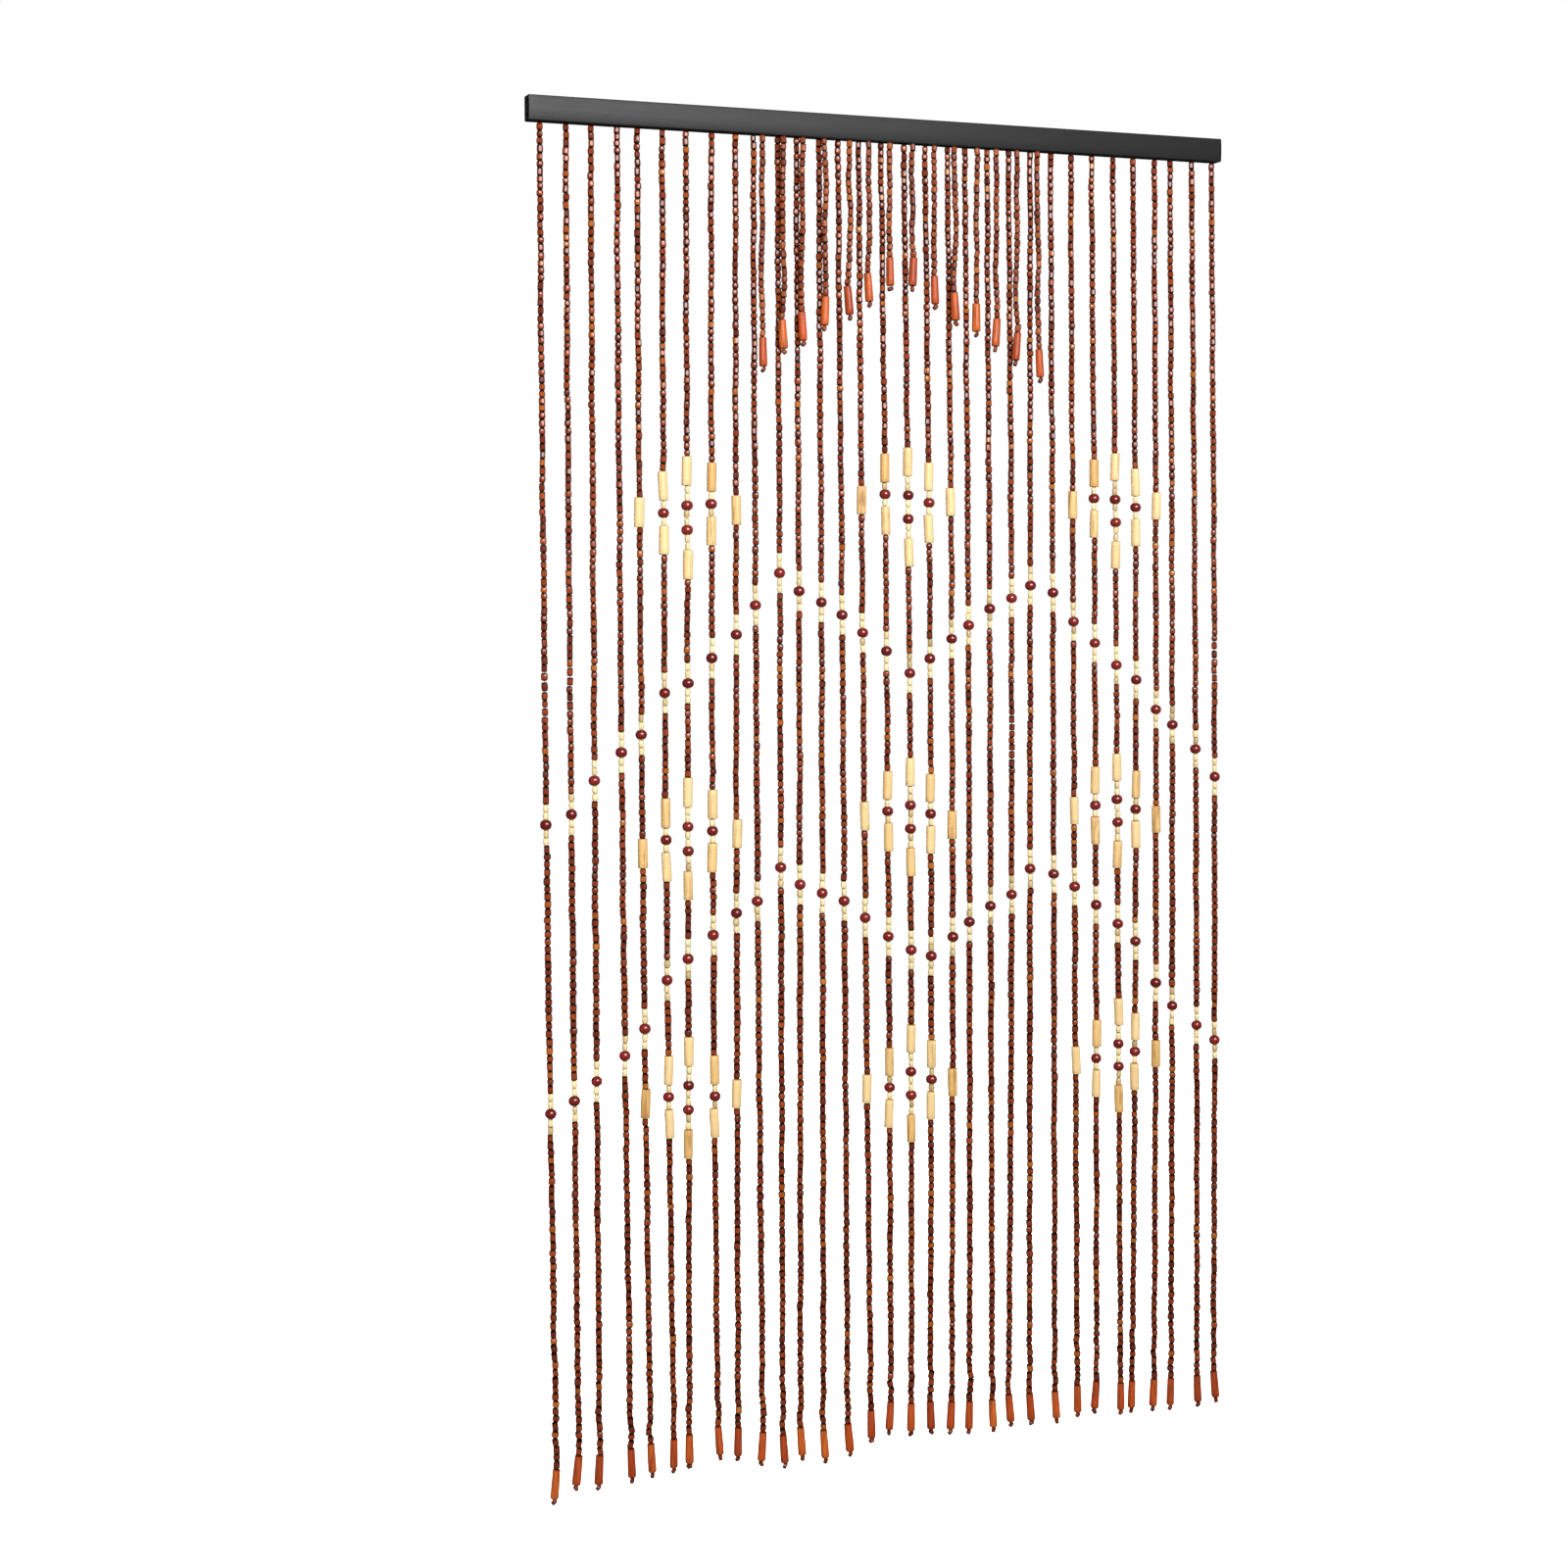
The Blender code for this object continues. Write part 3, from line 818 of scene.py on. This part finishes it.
def footFrame(thread):
    # the end tube's foot and the unit vector up its axis
    foot = thread["drop"] - tube["tip"]
    ends = placesOn(thread, np.array([thread["tubeTop"], foot]))
    return ends[1], unitRows(ends[0] - ends[1])


def endTubeShells(thread):
    # the foot is wider than the top: radius runs from top to foot by a smooth step over the flare
    seed = draws["endTube"] + thread["seed"]
    rng = np.random.default_rng(seed)
    foot, up = footFrame(thread)
    edge = np.array(endTube["edge"])
    ratio = endTube["topRadius"] / endTube["footRadius"]
    flare = ratio + (1 - ratio) * smoothStep((1 - edge) / endTube["flare"])
    centres = (foot + up * tube["length"] / 2)[None]
    lengths = np.array([tube["length"]])
    radii = drawn(rng, endTube, "footRadius", 1)
    widths = (flare * np.array(endTube["rim"]))[None]
    return beadShells(
        centres, up[None], lengths, radii, edge[None], widths, endTube["sides"], seed + 100, endTube["lobes"],
        tone=rng.random(1), figure=rng.uniform(*endTube["figure"], 1), polish=rng.random(1),
    )


def stopperFrame(thread):
    # the bead's middle lies below the tube's foot, and its axis leans sideways by the listed tilt
    foot, up = footFrame(thread)
    tilt = math.radians(stopper["tilts"][(thread["number"] - 1) % len(stopper["tilts"])])
    side, front = ringFrames(up[None])
    rng = np.random.default_rng(draws["stopper"] + thread["seed"])
    turn = rng.uniform(-stopper["turn"], stopper["turn"])
    sideways = side[0] * math.cos(turn) + front[0] * math.sin(turn)
    return foot - up * stopper["below"], up * math.cos(tilt) + sideways * math.sin(tilt)


def stopperShells(thread):
    # a short rounded bead on the stopper's own axis
    seed = draws["stopper"] + thread["seed"]
    rng = np.random.default_rng(seed + 100)
    centre, axis = stopperFrame(thread)
    lengths, radii = drawn(rng, stopper, "length", 1), drawn(rng, stopper, "radius", 1)
    stations, widths = np.array([stopper["edge"]]), np.array([stopper["widths"]])
    return beadShells(
        centre[None], axis[None], lengths, radii, stations, widths, stopper["sides"], seed + 200,
        stopper["lobes"], tone=rng.uniform(*stopper["tones"], 1), polish=rng.random(1),
    )


def buildEnds():
    # the row of end tubes and the row of stopper beads, for the long strings and then for the short ones
    for row, group in stringRows.items():
        node = row + "_strands"
        finish, slot = stopperLooks[row]
        tubes = [endTubeShells(thread) for thread in group]
        buildPiece(row + "_end_tubes", tubes, endTubeFinish, node, sharp=40)
        beads = [stopperShells(thread) for thread in group]
        buildPiece(row + "_stoppers", beads, finish, node)


buildBrownBeads()
buildCreamBeads()
buildBigBeads()
buildEnds()
print("beads hung")


def threadFinish(name, look):
    # plies of twisted thread: bands across the u, v wrap, with painted shade in the grooves between plies
    material, shader, add, link = startFinish(name)
    wrap = add("ShaderNodeUVMap", uv_map="wrap").outputs["UV"]
    mapping = add("ShaderNodeMapping")
    mapping.inputs["Scale"].default_value = (look["plies"], look["turns"], 1)
    link(wrap, mapping.inputs["Vector"])
    wave = add("ShaderNodeTexWave", wave_type="BANDS", bands_direction="DIAGONAL", wave_profile="SIN")
    wave.inputs["Scale"].default_value = look["waveScale"]
    link(mapping.outputs["Vector"], wave.inputs["Vector"])
    place = add("ShaderNodeTexCoord").outputs["Object"]
    fuzz = noiseNode(add, link, place, look["fuzzScale"], 4.0)
    # the ramp's darker stop is painted shade in the grooves between plies
    colour = rampNode(add, link, wave.outputs["Fac"], look["tones"])
    shade = fadeNode(add, link, fuzz, *threadLook["fuzz"], 0.0, threadLook["shade"])
    link(mixNode(add, link, shade, colour, look["shadeColour"], "MULTIPLY"), shader.inputs["Base Color"])
    addBump(add, link, wave.outputs["Fac"], shader, threadLook["bump"], look["bumpDepth"])
    link(fadeNode(add, link, fuzz, 0, 1, *threadLook["roughness"]), shader.inputs["Roughness"])
    shader.inputs["Sheen Weight"].default_value = threadLook["sheen"]
    return material


# Shared by cord and tape: where the fuzz starts and is full, and how much it darkens
threadLook = {"fuzz": (0.3, 0.7), "shade": 0.4, "bump": 0.6, "roughness": (0.75, 0.95), "sheen": 0.15}

cordFinish = threadFinish("twistedThread", {
    "tones": ((0.0, (0.34, 0.25, 0.17)), (1.0, (0.66, 0.56, 0.42))),
    "plies": 3, "turns": 0.8, "waveScale": 1.0, "fuzzScale": 2500, "shadeColour": (0.7, 0.62, 0.5),
    "bumpDepth": 0.15,
})

tapeFinish = threadFinish("wovenTape", {
    "tones": ((0.0, (0.02, 0.018, 0.016)), (1.0, (0.075, 0.068, 0.06))),
    "plies": 12, "turns": 0.9, "waveScale": 1.0, "fuzzScale": 1800, "shadeColour": (0.6, 0.6, 0.6),
    "bumpDepth": 0.25,
})

cord = {
    "radius": 0.75, "step": 11, "sides": 6, "top": -2.6,
    "foot": 1,  # how far inside the end tube its foot lies
    "loopPoints": 13, "loopSlack": 1.1, "loopLift": 1.5, "loopPower": 1.5,  # the loop through a stopper bead
}
tape = {
    "width": 3.6, "height": 4.0, "recess": 2.0, "overrun": 4.5, "sides": 12, "step": 15,
    "ripple": 0.12, "ripples": (17, 41), "squareness": 5,
}


def sweptShell(points, radius, sides):
    # point = path + (side · cos a + front · sin a) · radius, with frames square to the path's direction
    axes = unitRows(np.gradient(points, axis=0))
    helper = np.where(abs(axes[:, 2:]) > 0.3, [0.0, -1.0, 0.0], [0.0, 0.0, 1.0])
    side = unitRows(np.cross(helper, axes))
    front = np.cross(axes, side)
    angle = np.linspace(0, 2 * np.pi, sides, endpoint=False)[None, :, None]
    grid = points[:, None] + (side[:, None] * np.cos(angle) + front[:, None] * np.sin(angle)) * radius
    steps = np.linalg.norm(np.diff(points, axis=0), axis=1)
    along = np.concatenate([[0], np.cumsum(steps)])
    return {"grid": grid[None], "along": along[None], "values": {}}


def stopperLoop(thread):
    # out of the tube's foot, round one end of the stopper bead, through it and back to the foot:
    # an ellipse whose long axis is the bead's own, drawn in towards the tube
    centre, axis = stopperFrame(thread)
    foot, up = footFrame(thread)
    t = np.linspace(-np.pi, np.pi, cord["loopPoints"])[:, None]
    reach = stopper["length"] / 2 + cord["radius"] * cord["loopSlack"]
    lift = (1 + np.cos(t)) / 2
    knot = foot + up * cord["loopLift"]
    loop = centre + axis * reach * np.sin(t) + (knot - centre) * lift ** cord["loopPower"]
    return sweptShell(loop, cord["radius"], cord["sides"])


def buildCords():
    # each cord runs down its string's own path, from inside the tape to the stopper bead
    for row, group in stringRows.items():
        shells = []
        for thread in group:
            foot = thread["drop"] - tube["tip"] - cord["foot"]
            count = int((foot - cord["top"]) / cord["step"]) + 2
            depths = np.linspace(cord["top"], foot, count)[::-1]
            shells.append(sweptShell(placesOn(thread, depths), cord["radius"], cord["sides"]))
            shells.append(stopperLoop(thread))
        buildPiece(row + "_cords", shells, cordFinish, row + "_strands", sharp=80)


def buildTapes():
    # a rounded oblong, |y/w|^p + |z/h|^p = 1 with p the squareness, carried along with a slight ripple
    angle = np.linspace(0, 2 * np.pi, tape["sides"], endpoint=False) + np.pi / tape["sides"]
    power = tape["squareness"]
    size = (abs(np.cos(angle)) ** power + abs(np.sin(angle)) ** power) ** (-1 / power)
    for row, group in stringRows.items():
        holes = [thread["hole"] for thread in group]
        left, right = min(holes) - tape["overrun"], max(holes) + tape["overrun"]
        x = np.linspace(left, right, int((right - left) / tape["step"]))[:, None]
        ripple = tape["ripple"] * np.sin(x / tape["ripples"][0]) * np.sin(x / tape["ripples"][1])
        middle = underside + tape["recess"] + tape["height"] / 2
        y = group[0]["y"] + size * np.cos(angle) * tape["width"] / 2 + 0 * x
        z = middle + size * np.sin(angle) * (tape["height"] / 2 - tape["ripple"]) + ripple
        grid = np.stack([x + 0 * y, y, z], axis=-1)[None]
        shells = [{"grid": grid, "along": x.T, "values": {}}]
        buildPiece(row + "_tape", shells, tapeFinish, row + "_strands", sharp=50)


buildCords()
buildTapes()
print("cords and tapes ready")


# The painted bar
bar = {
    "edgeRadius": 1.2,
    "arcSteps": 4,
    "crown": (1.1, 0.7),  # how far the front face's lower and upper edges lie behind its middle
    "frontSteps": 10,
    "grooveWidth": 4.2,
    "grooveDepth": 6.3,
    "grooveMargin": 4.8,  # past the first and last hole
    "tones": ((0.3, (0.009, 0.009, 0.0093)), (0.75, (0.011, 0.011, 0.0114))),
    "cloudScale": 9.0,
    "brushScale": 420.0,
    "roughness": (0.37, 0.42),
    "shine": 0.2,
    "bump": 0.08,
    "bumpDepth": 0.05,
}


def arcPoints(centreY, centreZ, start):
    # a quarter circle from the start angle, anticlockwise
    angle = np.radians(start + np.linspace(0, 90, bar["arcSteps"] + 1))
    radius = bar["edgeRadius"]
    return np.stack([centreY + radius * np.cos(angle), centreZ + radius * np.sin(angle), 0 * angle], axis=-1)


def barSection():
    # (y, z, lift) anticlockwise: underside with two grooves, back, top, crowned front; the lift is 1 where
    # the short row's groove rises and 2 for the long row's
    radius, crown = bar["edgeRadius"], bar["crown"]
    front, back, low, high = railLow[1], railHigh[1], railLow[2], railHigh[2]
    half = bar["grooveWidth"] / 2
    rows = [arcPoints(front + crown[0] + radius, low + radius, 180)]
    for lift, y in ((1, shortRowY), (2, longRowY)):
        left, right = y - half, y + half
        rows.append(np.array([(left, low, 0), (left, low, lift), (right, low, lift), (right, low, 0)]))
    rows.append(arcPoints(back - radius, low + radius, 270))
    rows.append(arcPoints(back - radius, high - radius, 0))
    rows.append(arcPoints(front + crown[1] + radius, high - radius, 90))
    middle, reach = (low + high) / 2, (high - low) / 2 - radius
    z = np.linspace(high - radius, low + radius, bar["frontSteps"] + 1)[1:-1]
    depth = np.where(z > middle, crown[1], crown[0]) * ((z - middle) / reach) ** 2
    rows.append(np.stack([front + depth, z, 0 * z], axis=-1))
    return np.concatenate(rows)


def buildBar():
    # point = (x, section drawn in towards its middle near both ends); a groove's roof rises between its ends
    section = barSection()
    lifts = section[:, 2]
    radius = bar["edgeRadius"]
    turn = np.radians(np.linspace(0, 90, bar["arcSteps"] + 1))
    endX = railHigh[0] - radius + radius * np.sin(turn)
    endInset = radius * (1 - np.cos(turn))
    margin = bar["grooveMargin"]
    grooves = [(group[0]["hole"] - margin, group[-1]["hole"] + margin) for group in stringRows.values()]
    (longLeft, longRight), (shortLeft, shortRight) = grooves
    between = np.array([  # x, and whether the short and the long groove are open there
        (longLeft, 0, 0), (longLeft, 0, 1), (shortLeft, 0, 1), (shortLeft, 1, 1),
        (shortRight, 1, 1), (shortRight, 0, 1), (longRight, 0, 1), (longRight, 0, 0),
    ])
    x = np.concatenate([-endX[::-1], between[:, 0], endX])[:, None]
    inset = np.concatenate([endInset[::-1], 0 * between[:, 0], endInset])[:, None]
    shortOpen, longOpen = (np.pad(column, len(endX))[:, None] for column in between[:, 1:].T)
    middle = (section.max(axis=0) + section.min(axis=0)) / 2
    halfSize = (section.max(axis=0) - section.min(axis=0)) / 2
    y = middle[0] + (section[:, 0] - middle[0]) * (1 - inset / halfSize[0])
    z = middle[1] + (section[:, 1] - middle[1]) * (1 - inset / halfSize[1])
    z = z + bar["grooveDepth"] * (shortOpen * (lifts == 1) + longOpen * (lifts == 2))
    grid = np.stack([x + 0 * y, y, z], axis=-1)[None]
    shells = [{"grid": grid, "along": x.T, "values": {}}]
    buildPiece("painted_bar", shells, barFinish(), "rail", sharp=35, weld=True)


def barFinish():
    # satin paint: two near greys in a broad cloud, a fine brushed unevenness in roughness and bump
    material, shader, add, link = startFinish("barPaint")
    place = add("ShaderNodeTexCoord").outputs["Object"]
    cloud = noiseNode(add, link, place, bar["cloudScale"], 3.0, (0.4, 1, 1))
    brushed = noiseNode(add, link, place, bar["brushScale"], 3.0, (0.05, 1, 1))
    link(rampNode(add, link, cloud, bar["tones"]), shader.inputs["Base Color"])
    link(fadeNode(add, link, brushed, 0.3, 0.7, *bar["roughness"]), shader.inputs["Roughness"])
    shader.inputs["Specular IOR Level"].default_value = bar["shine"]
    addBump(add, link, brushed, shader, bar["bump"], bar["bumpDepth"])
    return material


buildBar()
print("bar ready")


# Room, light and camera
studio = {
    "floorBelow": 85,  # under the lowest bead
    "floorSize": 7.0,
    "floorLines": 9,
    "floorColour": (0.93, 0.93, 0.93),
    "floorRoughness": 0.9,
    "floorGlow": 0.97,
    "around": 0.025,  # how bright the room is for all but the camera
}
lampColumns = ("name", "place", "aim", "size", "watts", "shine")  # shine: whether surfaces mirror it
lampChart = (
    ("softbox", (-0.1, -3.0, 0.68), (0.0, 0.0, -0.15), (2.6, 1.6), 165, True),
    ("lowFill", (-1.6, -2.6, -1.2), (0.0, 0.0, -1.2), (1.3, 1.2), 26, False),
    ("barLight", (-0.2, -2.8, 1.5), (-0.4, 0.0, 0.0), (0.7, 0.5), 16, True),
    ("backLight", (-0.6, 3.0, 0.3), (0.0, 0.0, -0.7), (1.8, 1.4), 120, False),
    ("leftFill", (-2.9, -0.6, -0.8), (0.0, 0.0, -0.8), (1.2, 2.0), 30, False),
    ("rightFill", (2.9, -0.6, -0.8), (0.0, 0.0, -0.8), (1.2, 2.0), 30, False),
)
photoCamera = {
    "place": (-1.391, -3.154, -0.58),
    "yaw": -21.45,
    "pitch": -1.5,
    "roll": -0.28,
    "lens": 59.125,
    "sensor": 36,
    "nearest": 0.05,
    "shiftY": -0.0945,
}


def buildFloor():
    # a flat square grid under the curtain, lit so evenly that it nearly meets the white behind
    half = studio["floorSize"] / 2
    height = (longLow[2] - studio["floorBelow"]) * mm
    side = np.linspace(-half, half, studio["floorLines"])
    x, y = np.meshgrid(side, side)
    points = np.stack([x, y, np.full_like(x, height)], axis=-1).reshape(-1, 3)
    index = np.arange(x.size).reshape(x.shape)
    quads = np.stack([index[:-1, :-1], index[:-1, 1:], index[1:, 1:], index[1:, :-1]], axis=-1).reshape(-1, 4)
    mesh = bpy.data.meshes.new("floor")
    mesh.from_pydata(points.tolist(), [], quads.tolist())
    material, shader, add, link = startFinish("paleFloor")
    shader.inputs["Base Color"].default_value = (*studio["floorColour"], 1)
    shader.inputs["Roughness"].default_value = studio["floorRoughness"]
    shader.inputs["Emission Color"].default_value = (1, 1, 1, 1)
    shader.inputs["Emission Strength"].default_value = studio["floorGlow"]
    mesh.materials.append(material)
    floor = bpy.data.objects.new("floor", mesh)
    bpy.context.scene.collection.objects.link(floor)
    floor.visible_diffuse = floor.visible_glossy = False  # it throws no light back on the curtain


def buildWorld():
    # white where the camera sees it, dimmer for every other ray
    world = bpy.data.worlds.new("whiteRoom")
    world.use_nodes = True
    tree = world.node_tree
    tree.nodes.clear()
    output = tree.nodes.new("ShaderNodeOutputWorld")
    mix = tree.nodes.new("ShaderNodeMixShader")
    path = tree.nodes.new("ShaderNodeLightPath")
    for socket, strength in ((1, studio["around"]), (2, 1.0)):
        background = tree.nodes.new("ShaderNodeBackground")
        background.inputs["Color"].default_value = (1, 1, 1, 1)
        background.inputs["Strength"].default_value = strength
        tree.links.new(background.outputs["Background"], mix.inputs[socket])
    tree.links.new(path.outputs["Is Camera Ray"], mix.inputs["Fac"])
    tree.links.new(mix.outputs["Shader"], output.inputs["Surface"])
    bpy.context.scene.world = world


def buildLamps():
    # rectangular area lamps; each looks along its -Z at its aim
    for row in lampChart:
        lamp = dict(zip(lampColumns, row))
        light = bpy.data.lights.new(lamp["name"], "AREA")
        light.shape = "RECTANGLE"
        light.size, light.size_y = lamp["size"]
        light.energy = lamp["watts"]
        item = bpy.data.objects.new(lamp["name"], light)
        item.location = lamp["place"]
        sight = Vector(lamp["aim"]) - Vector(lamp["place"])
        item.rotation_euler = sight.to_track_quat("-Z", "Y").to_euler()
        item.visible_glossy = lamp["shine"]
        bpy.context.scene.collection.objects.link(item)


def buildCamera():
    # turned by yaw about the upright, tipped down by pitch, then rolled about its own line of sight
    camera = bpy.data.cameras.new("photoCamera")
    camera.lens = photoCamera["lens"]
    camera.sensor_width = photoCamera["sensor"]
    camera.shift_y = photoCamera["shiftY"]
    camera.clip_start = photoCamera["nearest"]
    item = bpy.data.objects.new("photoCamera", camera)
    item.matrix_world = (
        Matrix.Translation(photoCamera["place"])
        @ Matrix.Rotation(math.radians(photoCamera["yaw"]), 4, "Z")
        @ Matrix.Rotation(math.radians(90 + photoCamera["pitch"]), 4, "X")
        @ Matrix.Rotation(math.radians(photoCamera["roll"]), 4, "Z")
    )
    bpy.context.scene.collection.objects.link(item)
    bpy.context.scene.camera = item


buildFloor()
buildWorld()
buildLamps()
buildCamera()
bpy.context.scene.view_settings.view_transform = "Standard"
print("room, light and camera ready")
